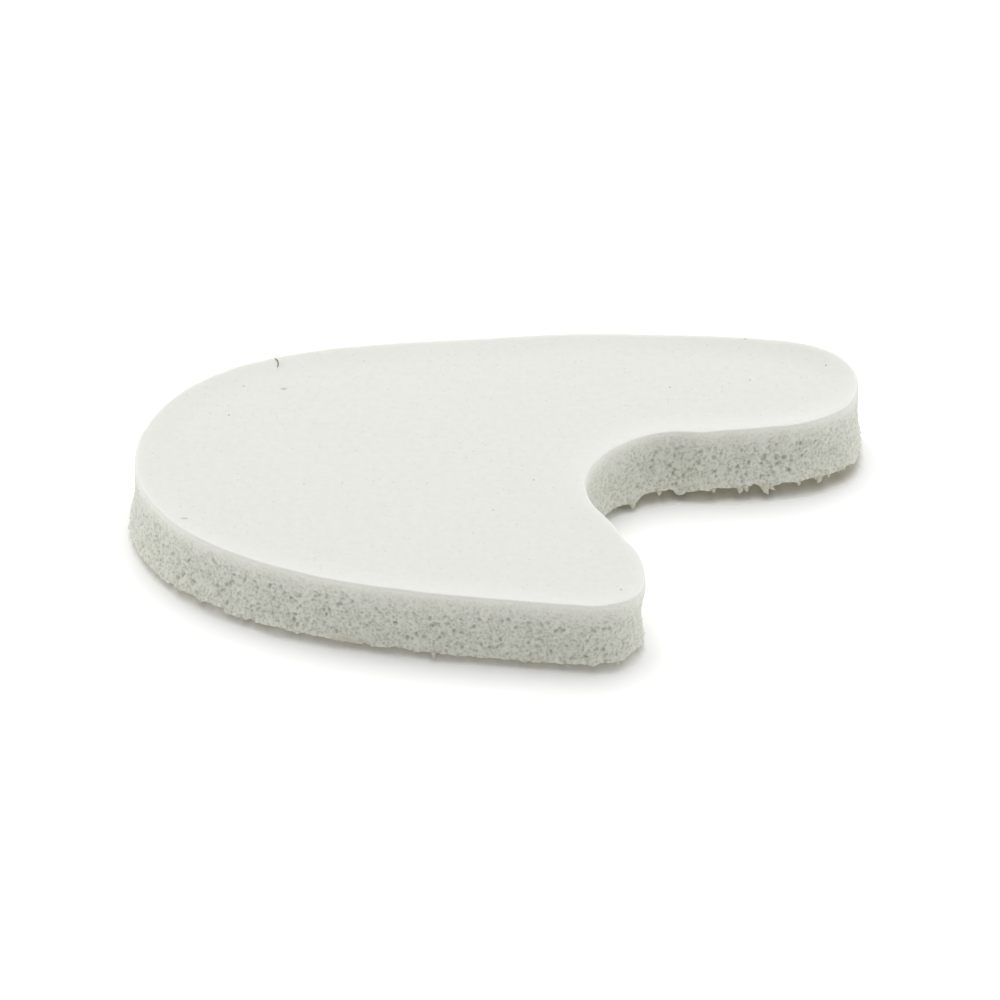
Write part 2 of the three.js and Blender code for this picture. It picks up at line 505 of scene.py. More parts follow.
bulge = FRONT_BULGE * forward * (1 - on_left) + WING_BULGE * on_wing + ROOT_BULGE * in_notch
for place, half_length, reach in WING_SWELLS:
    bulge = bulge + reach * on_wing * np.exp(-(((rim_x - place) / half_length) ** 2))
flare = FRONT_FLARE + (LEFT_FLARE - FRONT_FLARE) * on_left + (WING_FLARE - FRONT_FLARE) * on_wing
leaning = flare * np.exp(-((up / FLARE_FADE) ** 2))
leaning = leaning + LOBE_LIP * on_lobe * np.exp(-((below_skin / LIP_FADE) ** 2))
wall_reach = bulge + leaning + TUFT_REACH * tufts + grain * openness
foot_height = foot + torn + arches + FRONT_RISE + WING_RISE * on_wing
wall_side = inset_line(round_inset + waist + pit_depth - wall_reach)
wall = raised(wall_side, foot + up + (foot_height - foot) * np.exp(-up / FOOT_FADE))
print("the foot is", foot_height.min().round(2), "to", foot_height.max().round(2), "mm high")

# %% [markdown]
# ## Closing the top and the underside
# The wall needs fine columns, and the flat skin doesn't. Three times in a row the next ring inwards
# has half as many points as the last one. Inside the rim band a staggered grid of points fills the
# rest. Rings that shrink to one point would cross each other at the notch, so Delaunay's rule joins
# the grid to the last ring: it picks the triangles whose circles hold no other point.

# %% Make the tools that join rings to a mesh
BAND_INSETS = (0.6, 0.95, 1.5, 2.3, 3.1, 4.0)
COARSEST_STRIDE = 8
FILL_SPACING = 1.3
FILL_ROW_SPACING = 0.87 * FILL_SPACING
FILL_CLEARANCE = 0.7 * FILL_SPACING
INSIDE_ONLY = 1
SAME_POINT = 1e-6


def between_rings(index):
    """Quads between each closed row of points and the next."""
    ahead = np.roll(index, -1, axis=-1)
    low, high = (..., slice(None, -1), slice(None)), (..., slice(1, None), slice(None))
    return np.stack([index[low], ahead[low], ahead[high], index[high]], axis=-1).reshape(-1, 4)


def to_half(ring, half):
    """Three triangles for each point of a ring that has half as many points as the last one."""
    first, second, third = ring[0::2], ring[1::2], np.roll(ring, -2)[0::2]
    here, ahead = half, np.roll(half, -1)
    corners = [(first, second, here), (second, ahead, here), (second, third, ahead)]
    return np.concatenate([np.stack(three, axis=-1) for three in corners])


def within(points, line):
    """Whether a ray from each point to the right crosses the closed line an odd number of times."""
    start, stop = line, np.roll(line, -1, axis=0)
    y = points[:, 1, None]
    spans = (start[:, 1] > y) != (stop[:, 1] > y)
    rise = stop[:, 1] - start[:, 1]
    slope = (stop[:, 0] - start[:, 0]) / np.where(rise == 0, 1, rise)
    crossing = start[:, 0] + (y - start[:, 1]) * slope
    return (spans & (points[:, 0, None] < crossing)).sum(axis=1) % 2 == 1


def fill(line):
    """A closed line and a staggered grid inside it, joined to triangles by Delaunay's rule."""
    low, high = line.min(axis=0), line.max(axis=0)
    rows = np.arange(low[1], high[1], FILL_ROW_SPACING)
    x, y = np.meshgrid(np.arange(low[0], high[0], FILL_SPACING), rows)
    x = x + FILL_SPACING / 2 * (np.arange(len(rows)) % 2)[:, None]
    grid = np.stack([x.ravel(), y.ravel()], axis=-1)
    clear = np.linalg.norm(grid[:, None] - line, axis=2).min(axis=1) > FILL_CLEARANCE
    flat = np.vstack([line, grid[clear & within(grid, line)]])
    joined = delaunay_2d_cdt(flat, [], [list(range(len(line)))], INSIDE_ONLY, SAME_POINT)
    return flat, np.array(joined[2])


def cap(first, ring, from_inset, height):
    """Rings across the rim band, then the filled middle. The next point gets the number first."""
    points, faces, stride = [], [], COLUMNS // len(ring)
    for inset in (value for value in BAND_INSETS if value > from_inset):
        stride = min(stride * 2, COARSEST_STRIDE)
        flat = inset_line(inset)[::stride]
        new = first + np.arange(len(flat))
        first += len(flat)
        points.append(raised(flat, height(flat, lift(rim_x[::stride], inset), inset)))
        halved = len(new) < len(ring)
        faces.append(to_half(ring, new) if halved else between_rings(np.stack([ring, new])))
        ring = new
    middle, corners = fill(flat)
    inner = middle[len(ring):]
    numbers = np.concatenate([ring, first + np.arange(len(inner))])
    points.append(raised(inner, height(inner, 0, RIM_BAND)))
    faces.append(numbers[corners])
    return np.concatenate(points), faces


def closed_body(side, upper, lower):
    """A side of closed rows, then its two caps: the points of all three parts, and all faces.

    Each cap is given as the inset that it starts from and the function for its height."""
    index = np.arange(side[..., 0].size).reshape(side.shape[:2])
    above, above_faces = cap(index.size, index[-1], *upper)
    below, below_faces = cap(index.size + len(above), index[0], *lower)
    below_faces = [face[:, ::-1] for face in below_faces]
    return [side.reshape(-1, 3), above, below], [between_rings(index)] + above_faces + below_faces


def on_parts(parts, *values):
    """One value for each point of a body, from a number or an array for each of its parts."""
    pairs = zip(values, parts)
    return np.concatenate([np.broadcast_to(np.ravel(value), len(part)) for value, part in pairs])


# %% [markdown]
# The skin isn't a perfect plane, because the foam dried on a wire belt. Three slow waves, a few
# hundredths of a millimetre high, keep the light on it from being dead even.

# %% Write down the skin and the foam's underside
SKIN_UNEVENNESS = 0.03
# Each slow wave: its turn for each millimetre along x and along y, and where it starts, in radians
SKIN_WAVES = ((0.31, 0.4, 1), (0.52, -0.35, 0), (-0.45, 0.18, 2))
LEVEL_EDGE = 0.5
UNDERSIDE_OVERLAP = 0.03


def skin_surface(flat, lifted, inset):
    """The skin's height: the section's rule plus three slow waves, which fade out at the rim."""
    x, y = flat[:, 0], flat[:, 1]
    waves = sum(np.sin(x_turn * x + y_turn * y + start) for x_turn, y_turn, start in SKIN_WAVES)
    level = FILM_THICKNESS + FOAM_THICKNESS + SKIN_LIFT_SHARE * lifted
    return level + SKIN_UNEVENNESS * waves / len(SKIN_WAVES) * smooth(inset, LEVEL_EDGE, RIM_BAND)


def foam_underside(flat, lifted, inset):
    """The underside of the foam: the film's thickness plus the lift, a hair inside the film."""
    return FILM_THICKNESS - UNDERSIDE_OVERLAP + lifted


# %% [markdown]
# A mesh is filled straight from the arrays with foreach_set, which is much faster than adding faces
# one at a time. The mesh also carries four values for each point: how much it belongs to the cut wall,
# how deep it lies in a pit, how much adhesive has soaked into it, and how near it is to the rim. The
# material reads them by name. Pit depth sets painted shade in the pits, and nearness to the rim sets a
# painted highlight on the skin. The soaked places are a few lips along the foot.

# %% Place the soaked lips
# Each lip: where it is along the pad, its half length, and which forward face it is on
LIPS = (
    (-13.7, 2.6, "front"),
    (-6.0, 0.5, "front"),
    (4.0, 0.7, "front"),
    (23.3, 0.5, "wing"),
    (24.9, 1.0, "wing"),
    (29.9, 1.0, "wing"),
)
# The share of a lip's length and of its height that is soaked through
SOAK_CORE = 0.6


def along(place):
    """The shorter way round the outline from a place to every column."""
    way = np.abs(station - place)
    return np.minimum(way, perimeter - way)


lip = np.zeros(COLUMNS)
for x, half_length, side in LIPS:
    away = along(station[column_at(x, side)])
    lip = np.maximum(lip, 1 - smooth(away, SOAK_CORE * half_length, half_length))
print("lips along", round(float(lip.mean() * perimeter), 1), "mm of the foot")

# %% Build the foam pad
CUT_FADE = 1.1
SOAK_HEIGHT = 0.5
SOAK_SPREAD = 0.5
SOAK_PITCH = 0.35
# Painted highlight: the skin's whitening fades over this distance from the rim, in mm
RIM_HIGHLIGHT_FADE = 1.2
PIT_FULL_DEPTH = 0.16


def make_piece(name, points, faces, values):
    """Points in millimetres and a list of face arrays become a smooth mesh object in metres."""
    corners = np.concatenate([face.ravel() for face in faces]).astype(np.int32)
    sizes = np.concatenate([np.full(len(face), face.shape[1]) for face in faces])
    starts = np.concatenate([[0], np.cumsum(sizes)[:-1]]).astype(np.int32)
    mesh = bpy.data.meshes.new(name)
    mesh.vertices.add(len(points))
    mesh.vertices.foreach_set("co", (np.asarray(points) * MM).astype(np.float32).ravel())
    mesh.loops.add(len(corners))
    mesh.loops.foreach_set("vertex_index", corners)
    mesh.polygons.add(len(sizes))
    mesh.polygons.foreach_set("loop_start", starts)
    mesh.update(calc_edges=True)
    mesh.polygons.foreach_set("use_smooth", np.ones(len(sizes), bool))
    for key, value in values.items():
        layer = mesh.attributes.new(key, "FLOAT", "POINT")
        layer.data.foreach_set("value", np.asarray(value, np.float32))
    piece = bpy.data.objects.new(name, mesh)
    scene.collection.objects.link(piece)
    triangles = int((sizes - 2).sum())
    print(name, len(points), "points", triangles, "triangles")
    return piece


foam_parts, foam_faces = closed_body(wall, (TOP_EDGE_ROUND, skin_surface), (0, foam_underside))
to_edge = np.linalg.norm(foam_parts[1][:, None, :2] - edge, axis=2).min(axis=1)
soak_height = SOAK_HEIGHT * (1 + SOAK_SPREAD * soft_noise(across, up, SOAK_PITCH, rng))
soak = lip * (1 - smooth(up, SOAK_CORE * soak_height, soak_height))
foam_values = {
    "cut": on_parts(foam_parts, 1 - np.exp(-below_skin / CUT_FADE), 0.0, 1.0),
    "pit": on_parts(foam_parts, pit_depth / PIT_FULL_DEPTH, 0.0, 0.0),
    "soak": on_parts(foam_parts, soak, 0.0, 0.0),
    # Nearness to the rim, which sets a painted highlight on the skin
    "rim": on_parts(foam_parts, 1.0, np.exp(-to_edge / RIM_HIGHLIGHT_FADE), 0.0),
}
foam = make_piece("foam", np.concatenate(foam_parts), foam_faces, foam_values)

# %% [markdown]
# ## Shader groups
# Both the foam and the adhesive have a colour that drifts a little from place to place, and a fine
# grain. Each effect is made once, as a node group with named sockets, and used in both materials with
# its own values. Every pattern reads Object coordinates, so it stays on the piece from any side.

# %% Make the tools for node trees
def add(tree, kind, **settings):
    """A new node with some of its settings filled in."""
    node = tree.nodes.new(kind)
    for key, value in settings.items():
        setattr(node, key, value)
    return node


def new_group(name, inputs, outputs):
    """An empty shader node group with named sockets: (name, socket kind, first value)."""
    tree = bpy.data.node_groups.new(name, "ShaderNodeTree")
    for label, kind, value in inputs:
        socket = tree.interface.new_socket(label, in_out="INPUT", socket_type="NodeSocket" + kind)
        if value is not None:
            socket.default_value = value
    for label, kind in outputs:
        tree.interface.new_socket(label, in_out="OUTPUT", socket_type="NodeSocket" + kind)
    return tree, add(tree, "NodeGroupInput"), add(tree, "NodeGroupOutput")


def fill_socket(tree, socket, value):
    """Links a socket to the value if that is a socket too, and otherwise sets it."""
    if isinstance(value, bpy.types.NodeSocket):
        tree.links.new(value, socket)
    else:
        socket.default_value = value


def feed(tree, node, **values):
    """Fills a node's inputs by name, with _ for a space."""
    for key, value in values.items():
        fill_socket(tree, node.inputs[key.replace("_", " ")], value)
    return node


def use_group(tree, group, **values):
    """Places a group in a material, with its pattern fixed to the piece, and fills its inputs."""
    where = add(tree, "ShaderNodeTexCoord").outputs["Object"]
    return feed(tree, add(tree, "ShaderNodeGroup", node_tree=group), Vector=where, **values)


def mix_colour(tree, share, first, second):
    """A colour that goes from the first to the second as the share goes from 0 to 1."""
    node = add(tree, "ShaderNodeMix", data_type="RGBA", clamp_factor=True)
    # The node has sockets for every kind of value: these are the share and the two colours
    for number, value in ((0, share), (6, first), (7, second)):
        fill_socket(tree, node.inputs[number], value)
    return node.outputs[2]


def coat(tree, colour, coats):
    """Lays coats over a colour, one after the other. Each is a share and the coat's own colour."""
    for share, tint in coats:
        colour = mix_colour(tree, share, colour, tint)
    return colour


def maths(tree, operation, first, second=0.0, clamp=False):
    """One sum of two values. Each is a socket or a number."""
    node = add(tree, "ShaderNodeMath", operation=operation, use_clamp=clamp)
    for socket, value in zip(node.inputs, (first, second)):
        fill_socket(tree, socket, value)
    return node.outputs[0]


def times(tree, first, second, clamp=False):
    """The first value times the second."""
    return maths(tree, "MULTIPLY", first, second, clamp)


def roughen(tree, shader, height, strength, distance, invert=False):
    """Bumps a shader's surface by a height from 0 to 1, which stands for a distance in metres."""
    bump = add(tree, "ShaderNodeBump", invert=invert)
    feed(tree, bump, Height=height, Strength=strength, Distance=distance)
    feed(tree, shader, Normal=bump.outputs["Normal"])


# %% Group: a colour that drifts
DRIFT_DETAIL = 4.0
DRIFT_LIMITS = (0.3, 0.7)


def drifting_colour():
    """Soft noise at the given scale mixes the colour towards a second one, by the given amount."""
    tree, start, end = new_group(
        "drifting_colour",
        [
            ("Vector", "Vector", None),
            ("Color", "Color", (0.8, 0.8, 0.8, 1)),
            ("Second Color", "Color", (0.7, 0.7, 0.7, 1)),
            ("Amount", "Float", 0.3),
            ("Scale", "Float", 200.0),
        ],
        [("Color", "Color")],
    )
    place, scale = start.outputs["Vector"], start.outputs["Scale"]
    noise = feed(tree, add(tree, "ShaderNodeTexNoise"), Vector=place, Scale=scale, Detail=DRIFT_DETAIL)
    low, high = DRIFT_LIMITS
    spread = add(tree, "ShaderNodeMapRange")
    feed(tree, spread, Value=noise.outputs["Fac"], From_Min=low, From_Max=high)
    share = times(tree, spread.outputs["Result"], start.outputs["Amount"])
    first, second = start.outputs["Color"], start.outputs["Second Color"]
    feed(tree, end, Color=mix_colour(tree, share, first, second))
    return tree


# %% Group: fine open cells
# The wobble bends the cells: its noise for each metre, and how far it moves them in metres
WOBBLE_SCALE = 2500.0
WOBBLE_REACH = 0.00015
SHADE_POWER = 1.5


def fine_cells():
    """Depth is 1 in the middle of a cell and 0 on the webs, and Shade is Depth times a random value."""
    tree, start, end = new_group(
        "fine_cells",
        [
            ("Vector", "Vector", None),
            ("Cells Per Metre", "Float", 4000.0),
            ("Opening", "Float", 0.5),
        ],
        [("Depth", "Float"), ("Shade", "Float")],
    )
    place, opening = start.outputs["Vector"], start.outputs["Opening"]
    wobble = feed(tree, add(tree, "ShaderNodeTexNoise"), Vector=place, Scale=WOBBLE_SCALE)
    shift = add(tree, "ShaderNodeVectorMath", operation="MULTIPLY_ADD")
    for socket, value in zip(shift.inputs, (wobble.outputs["Color"], [WOBBLE_REACH] * 3, place)):
        fill_socket(tree, socket, value)
    cells = add(tree, "ShaderNodeTexVoronoi")
    feed(tree, cells, Vector=shift.outputs["Vector"], Scale=start.outputs["Cells Per Metre"])
    depth = add(tree, "ShaderNodeMapRange", interpolation_type="SMOOTHSTEP")
    feed(tree, depth, Value=cells.outputs["Distance"], From_Max=opening, To_Min=1.0, To_Max=0.0)
    chance = add(tree, "ShaderNodeSeparateColor")
    tree.links.new(cells.outputs["Color"], chance.inputs[0])
    rare = maths(tree, "POWER", chance.outputs[0], SHADE_POWER)
    deep = depth.outputs["Result"]
    feed(tree, end, Depth=deep, Shade=times(tree, deep, rare))
    return tree


drift_group = drifting_colour()
cells_group = fine_cells()
print("groups", drift_group.name, cells_group.name)

# %% [markdown]
# ## The finish of the foam
# Latex foam is matt and lets a little light into it, which is why its edges look soft. The skin is a
# warm white with sparse pinholes, which carry painted shade, and a painted highlight near the rim.
# The cut wall is greyer and slightly green. Its pits and cells carry painted shade, and the torn webs
# between them and the top of the wall carry a painted highlight. One material holds both, and the
# value named cut, which the mesh carries, goes from one to the other.

# %% Make the foam's material
SKIN_WHITE = (0.63, 0.636, 0.60, 1)
SKIN_SECOND = (0.545, 0.552, 0.515, 1)
# Painted highlight: the whiter skin near the rim
SKIN_RIM_HIGHLIGHT = (0.655, 0.66, 0.63, 1)
# Painted highlight on the top of the cut wall, where it rounds over into the skin
EDGE_HIGHLIGHT = (0.80, 0.80, 0.757, 1)
WALL_GREY = (0.66, 0.665, 0.573, 1)
WALL_SECOND = (0.50, 0.51, 0.415, 1)
WALL_PATCH = (0.50, 0.51, 0.425, 1)
# Painted shade in the pits and the cells of the cut wall
PIT_SHADE = (0.33, 0.34, 0.28, 1)
# Painted highlight on the torn webs between the cells
WEB_HIGHLIGHT = (0.86, 0.86, 0.82, 1)
# Painted shade in the pinholes of the skin
PINHOLE_SHADE = (0.42, 0.42, 0.38, 1)
CREAM = (0.60, 0.58, 0.475, 1)
# How much of each colour is laid over the one below it
PINHOLE_SHARE = 0.8
RIM_HIGHLIGHT_SHARE = 0.5
WEB_HIGHLIGHT_SHARE = 0.4
CELL_SHARE = 0.5
PIT_SHARE = 0.4
PIT_POWER = 1.3
EDGE_HIGHLIGHT_SHARPNESS = 4.0
PINHOLE_HEIGHT = 0.4


def attribute(tree, name):
    """The value of that name which the mesh carries at each point."""
    return add(tree, "ShaderNodeAttribute", attribute_name=name).outputs["Fac"]


def foam_material():
    """Skin and cut wall in one material, mixed by the mesh's own value."""
    material = plain_material("latex_foam", SKIN_WHITE, roughness=0.9)
    tree = material.node_tree
    shader = tree.nodes["Principled BSDF"]
    feed(tree, shader, Specular_IOR_Level=0.25, Subsurface_Weight=0.45)
    feed(tree, shader, Subsurface_Radius=(1.0, 0.95, 0.85), Subsurface_Scale=0.0012)
    cut, pit = attribute(tree, "cut"), attribute(tree, "pit")

    skin = use_group(tree, drift_group, Color=SKIN_WHITE, Second_Color=SKIN_SECOND, Scale=1400.0)
    pinholes = use_group(tree, cells_group, Cells_Per_Metre=1700.0, Opening=0.24)
    drift = use_group(tree, drift_group, Color=WALL_GREY, Second_Color=WALL_SECOND, Scale=2300.0)
    feed(tree, drift, Amount=0.9)
    patches = use_group(tree, drift_group, Second_Color=WALL_PATCH, Amount=0.6, Scale=900.0)
    feed(tree, patches, Color=drift.outputs["Color"])
    cells = use_group(tree, cells_group, Cells_Per_Metre=3200.0, Opening=0.7)

    # The pinholes carry painted shade, and the rim carries a painted highlight
    skin_coats = (
        (times(tree, pinholes.outputs["Shade"], PINHOLE_SHARE), PINHOLE_SHADE),
        (times(tree, attribute(tree, "rim"), RIM_HIGHLIGHT_SHARE), SKIN_RIM_HIGHLIGHT),
    )
    webs = maths(tree, "SUBTRACT", 1.0, cells.outputs["Depth"])
    # The webs carry a painted highlight, and the cells and pits carry painted shade. The soaked foot is
    # cream.
    wall_coats = (
        (times(tree, webs, WEB_HIGHLIGHT_SHARE), WEB_HIGHLIGHT),
        (times(tree, cells.outputs["Shade"], CELL_SHARE), PIT_SHADE),
        (times(tree, maths(tree, "POWER", pit, PIT_POWER), PIT_SHARE, clamp=True), PIT_SHADE),
        (attribute(tree, "soak"), CREAM),
    )
    skin_colour = coat(tree, skin.outputs["Color"], skin_coats)
    wall_colour = coat(tree, patches.outputs["Color"], wall_coats)
    # A painted highlight along the top of the wall, just below the skin
    edge_highlight_share = times(tree, cut, EDGE_HIGHLIGHT_SHARPNESS, clamp=True)
    feed(tree, shader, Base_Color=coat(tree, skin_colour, ((edge_highlight_share, EDGE_HIGHLIGHT), (cut, wall_colour))))

    pinhole_height = times(tree, pinholes.outputs["Shade"], PINHOLE_HEIGHT)
    height = maths(tree, "ADD", times(tree, cells.outputs["Depth"], cut), pinhole_height)
    roughen(tree, shader, height, strength=0.6, distance=0.00008, invert=True)
    return material


foam.data.materials.append(foam_material())
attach(foam, "root")
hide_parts("foam_pad")

# %% [markdown]
# ## The film of adhesive
# The underside carries a thin, tacky film. It ends a little inside the wall, where the knife has
# dragged it back. Under the lifted rim it is stretched from the foam almost down to the table, like a
# low skirt that runs out flat in a ragged hem. The skirt is partly adhesive and partly painted shadow:
# a dark sheet where the shade under the lifted rim falls. It is a closed sheet with the same rings as
# the foam's underside.

# %% Build the film
FILM_SETBACK = 0.2
FILM_RAGGEDNESS = 0.12
FILM_FLARE_SHARE = 0.6
FILM_CLEARANCE = 0.006
FILM_FRINGE = 0.003
# Each wave along the film's edge: its pitch and its height
RAGGED_WAVES = ((0.5, 1.0), (2.4, 0.6))
HEM_WAVES = ((0.8, 0.12),)
# The skirt is partly adhesive and partly a sheet of painted shadow under the lifted rim: how far it runs
# out, in mm, at the front and on the wing
FILM_SHADOW_SKIRT = 0.6
WING_SHADOW_SKIRT = 1.3
SKIRT_CURVE = 4
THIN_AND_SHADOW_CURVE = 1.5
WING_THIN_AND_SHADOW_CURVE = 4.0
FILM_ROWS = 14
# One more row, close to the hem, keeps the smooth shading from drawing a dark line there
HEM_ROW = 0.006

rng = np.random.default_rng(19)
ragged = waves_along(RAGGED_WAVES, rng)
film_inset = FILM_SETBACK + FILM_RAGGEDNESS * ragged - FILM_FLARE_SHARE * flare
film_low = FILM_CLEARANCE + FILM_FRINGE * ragged
side_rows = np.insert(np.linspace(0, 1, FILM_ROWS), 1, HEM_ROW)[:, None]
film_side = film_low + (foot_height - film_low) * side_rows
film_shadow_skirt = (FILM_SHADOW_SKIRT + (WING_SHADOW_SKIRT - FILM_SHADOW_SKIRT) * on_wing) * (1 - side_rows) ** SKIRT_CURVE
film_shadow_skirt = film_shadow_skirt * (1 + waves_along(HEM_WAVES, rng))
film_rim = raised(inset_line(film_inset - film_shadow_skirt), film_side)[:, ::2]
# How fast the colour fades to white down the skirt: partly thin film, partly the soft end of the painted
# shadow
thin_and_shadow_curve = THIN_AND_SHADOW_CURVE + (WING_THIN_AND_SHADOW_CURVE - THIN_AND_SHADOW_CURVE) * on_wing
film_thin_and_shadow_fade = ((1 - side_rows) ** thin_and_shadow_curve)[:, ::2]


def film_top(flat, lifted, inset):
    """The film's upper side: its thickness plus the lift."""
    return FILM_THICKNESS + lifted


def film_under(flat, lifted, inset):
    """The film's lower side: a hair above the table at the rim, and on it in the flat middle."""
    return np.full(len(flat), FILM_CLEARANCE * max(0.0, 1 - inset / RIM_BAND))


inner = BAND_INSETS[0]
film_parts, film_faces = closed_body(film_rim, (inner, film_top), (inner, film_under))
film_values = {
    "thin": on_parts(film_parts, film_thin_and_shadow_fade, 0.0, 0.0),
    "cream": on_parts(film_parts, 0.0, 0.0, 0.0),
}
film = make_piece("film", np.concatenate(film_parts), film_faces, film_values)
print("film edge", film_low.min().round(2), "to", film_low.max().round(2), "mm above the table")

# %% [markdown]
# ## The finish of the adhesive
# Old adhesive is a dirty amber. Towards the hem the film goes over to white, partly because it thins
# out and the white below shows through, and partly as the soft end of the painted shadow under the rim.
# Teeth take foam with them and turn cream. One material serves all three: the values named thin and
# cream, which each mesh carries, go from one to the next. Being tacky, it is slightly glossy.

# %% Make the adhesive's material
ADHESIVE_AMBER = (0.29, 0.265, 0.18, 1)
ADHESIVE_SECOND = (0.38, 0.35, 0.245, 1)
# The white at the hem: partly thin film, partly the soft end of the painted shadow
THIN_AND_SHADOW_WHITE = (0.93, 0.925, 0.90, 1)
CREAM_SHARE = 0.35


def adhesive_material():
    """Amber with paler drifts, fading to white towards the hem partly as painted shadow, and going over
    to cream.
    """
    material = plain_material("adhesive", ADHESIVE_AMBER, roughness=0.42)
    tree = material.node_tree
    shader = tree.nodes["Principled BSDF"]
    drift = use_group(tree, drift_group, Color=ADHESIVE_AMBER, Second_Color=ADHESIVE_SECOND)
    feed(tree, drift, Amount=0.8, Scale=450.0)
    cells = use_group(tree, cells_group, Cells_Per_Metre=1800.0, Opening=0.6)
    cream_share = times(tree, cells.outputs["Shade"], CREAM_SHARE)
    # The fade to white at the hem is partly thin film and partly the soft end of the painted shadow
    coats = (
        (attribute(tree, "thin"), THIN_AND_SHADOW_WHITE),
        (attribute(tree, "cream"), mix_colour(tree, cream_share, CREAM, ADHESIVE_SECOND)),
    )
    feed(tree, shader, Base_Color=coat(tree, drift.outputs["Color"], coats))
    roughen(tree, shader, cells.outputs["Depth"], strength=0.4, distance=0.00005)
    return material


adhesive = adhesive_material()
film.data.materials.append(adhesive)
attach(film, "root")
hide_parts("adhesive_film")

# %% [markdown]
# ## Torn teeth
# When the die lifts, the adhesive strings out and tears the foam, so small teeth hang from the foot
# of the wall. They could be part of the wall's grid, but a grid can't overhang. Each tooth is a tube
# that narrows to a point instead: rings of an ellipse along a bent path. All of them are worked out
# at once, as one array with an axis for the tooth, one for the ring and one for the place round it.

# %% Place the teeth
# Each tooth: where it is along the pad, side, length, half width, and lean along the wall, all in mm
TEETH = (
    (12.1, "wing", 0.60, 0.35, 0.1),
    (15.1, "wing", 0.70, 0.28, 0.0),
    (20.6, "wing", 0.45, 0.22, 0.0),
    (23.1, "wing", 0.60, 0.32, -0.1),
    (23.6, "wing", 0.50, 0.28, 0.3),
    (25.4, "wing", 0.75, 0.34, 0.4),
    (26.0, "wing", 0.45, 0.24, 0.9),
    (28.5, "wing", 0.50, 0.20, 0.0),
    (30.5, "wing", 0.60, 0.30, -0.5),
    (31.2, "wing", 0.50, 0.20, 0.1),
    (32.5, "wing", 0.40, 0.20, 0.2),
    (-29.8, "front", 0.60, 0.12, 0.1),
    (-27.7, "front", 0.30, 0.20, 0.0),
    (-6.0, "front", 0.65, 0.20, 0.0),
    (2.6, "front", 0.30, 0.20, -0.2),
    (10.9, "front", 0.35, 0.30, -0.3),
)
EXTRA_TEETH = 44
# The least and the greatest length, half width and lean of an extra tooth
EXTRA_LEAST = np.array([0.12, 0.06, -0.4])
EXTRA_MOST = np.array([0.37, 0.16, 0.4])

rng = np.random.default_rng(23)
named_columns = np.array([column_at(x, side) for x, side, *_ in TEETH])
named_sizes = np.array([sizes for _, _, *sizes in TEETH])
extra_columns = rng.integers(0, COLUMNS, EXTRA_TEETH)
extra_sizes = EXTRA_LEAST + (EXTRA_MOST - EXTRA_LEAST) * rng.random((EXTRA_TEETH, 3))
tooth_column = np.concatenate([named_columns, extra_columns])
tooth_length, tooth_half, tooth_lean = np.concatenate([named_sizes, extra_sizes]).T
print("teeth", len(tooth_column), "longest", tooth_length.max(), "mm")

# %% Build the teeth
TOOTH_RINGS = 9
TOOTH_SIDES = 8
TOOTH_ROOT = 0.12
TOOTH_WOBBLE = 0.03
TABLE_CLEARANCE = 0.03
# A tooth bows outwards by a share of its length, and its tip ends a little further out
TOOTH_BOW = 0.22
BOW_TURN = 0.8 * np.pi
TIP_OUT = 0.1
LEAN_POWER = 1.5
TAPER_LEAST = 0.04
TAPER_POWER = 0.6
TOOTH_FLATNESS = 0.6
TIP_MARGIN = 0.2
UPWARDS = np.array([0, 0, 1.0])


def tubes(paths, half_across, half_through, across_way, through_way):
    """Closed tubes: each ring is its path's point plus cos and sin of the angle times the two ways."""
    angle = np.linspace(0, 2 * np.pi, TOOTH_SIDES, endpoint=False)
    wide = (half_across[..., None] * np.cos(angle))[..., None] * across_way[:, None, None]
    thick = (half_through[..., None] * np.sin(angle))[..., None] * through_way[:, None, None]
    ring = paths[:, :, None] + wide + thick
    count, rings = paths.shape[:2]
    index = np.arange(count * rings * TOOTH_SIDES).reshape(count, rings, TOOTH_SIDES)
    ends = np.concatenate([index[:, 0, ::-1], index[:, -1]])
    return ring.reshape(-1, 3), [between_rings(index), ends]


t = np.linspace(0, 1, TOOTH_RINGS)[None, :]
out_way = raised(outward[tooth_column], 0.0)
run_way = raised(turned_left(outward)[tooth_column], 0.0)
root_place = inset_line(TOOTH_ROOT - flare - bulge)[tooth_column]
root = raised(root_place, foot_height[tooth_column] + TOOTH_ROOT)
room = root[:, 2] - TABLE_CLEARANCE - TIP_MARGIN * tooth_half
reach = np.minimum(tooth_length, room)[:, None]
out_shift = TOOTH_BOW * reach * np.sin(BOW_TURN * t) + TIP_OUT * t
run_shift = tooth_lean[:, None] * reach * t**LEAN_POWER
paths = root[:, None] - (reach * t)[..., None] * UPWARDS
paths = paths + out_shift[..., None] * out_way[:, None] + run_shift[..., None] * run_way[:, None]
paths[:, 1:] += TOOTH_WOBBLE * rng.standard_normal(paths[:, 1:].shape)
taper = tooth_half[:, None] * np.maximum(1 - t**2, TAPER_LEAST) ** TAPER_POWER
tooth_points, tooth_faces = tubes(paths, taper, TOOTH_FLATNESS * taper, run_way, out_way)
tooth_values = {"thin": np.zeros(len(tooth_points)), "cream": np.ones(len(tooth_points))}
teeth = make_piece("teeth", tooth_points, tooth_faces, tooth_values)
teeth.data.materials.append(adhesive)
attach(teeth, "root")

# %% [markdown]
# ## Flecks on the skin
# A few crumbs of amber adhesive and dark specks of dirt lie on the white skin, and one short fibre.
# They could be spots in the foam's material, but each would need a distance to its own point. Here
# each is a tiny flat lens, which needs one row of a table: a ball squeezed flat, turned and placed.

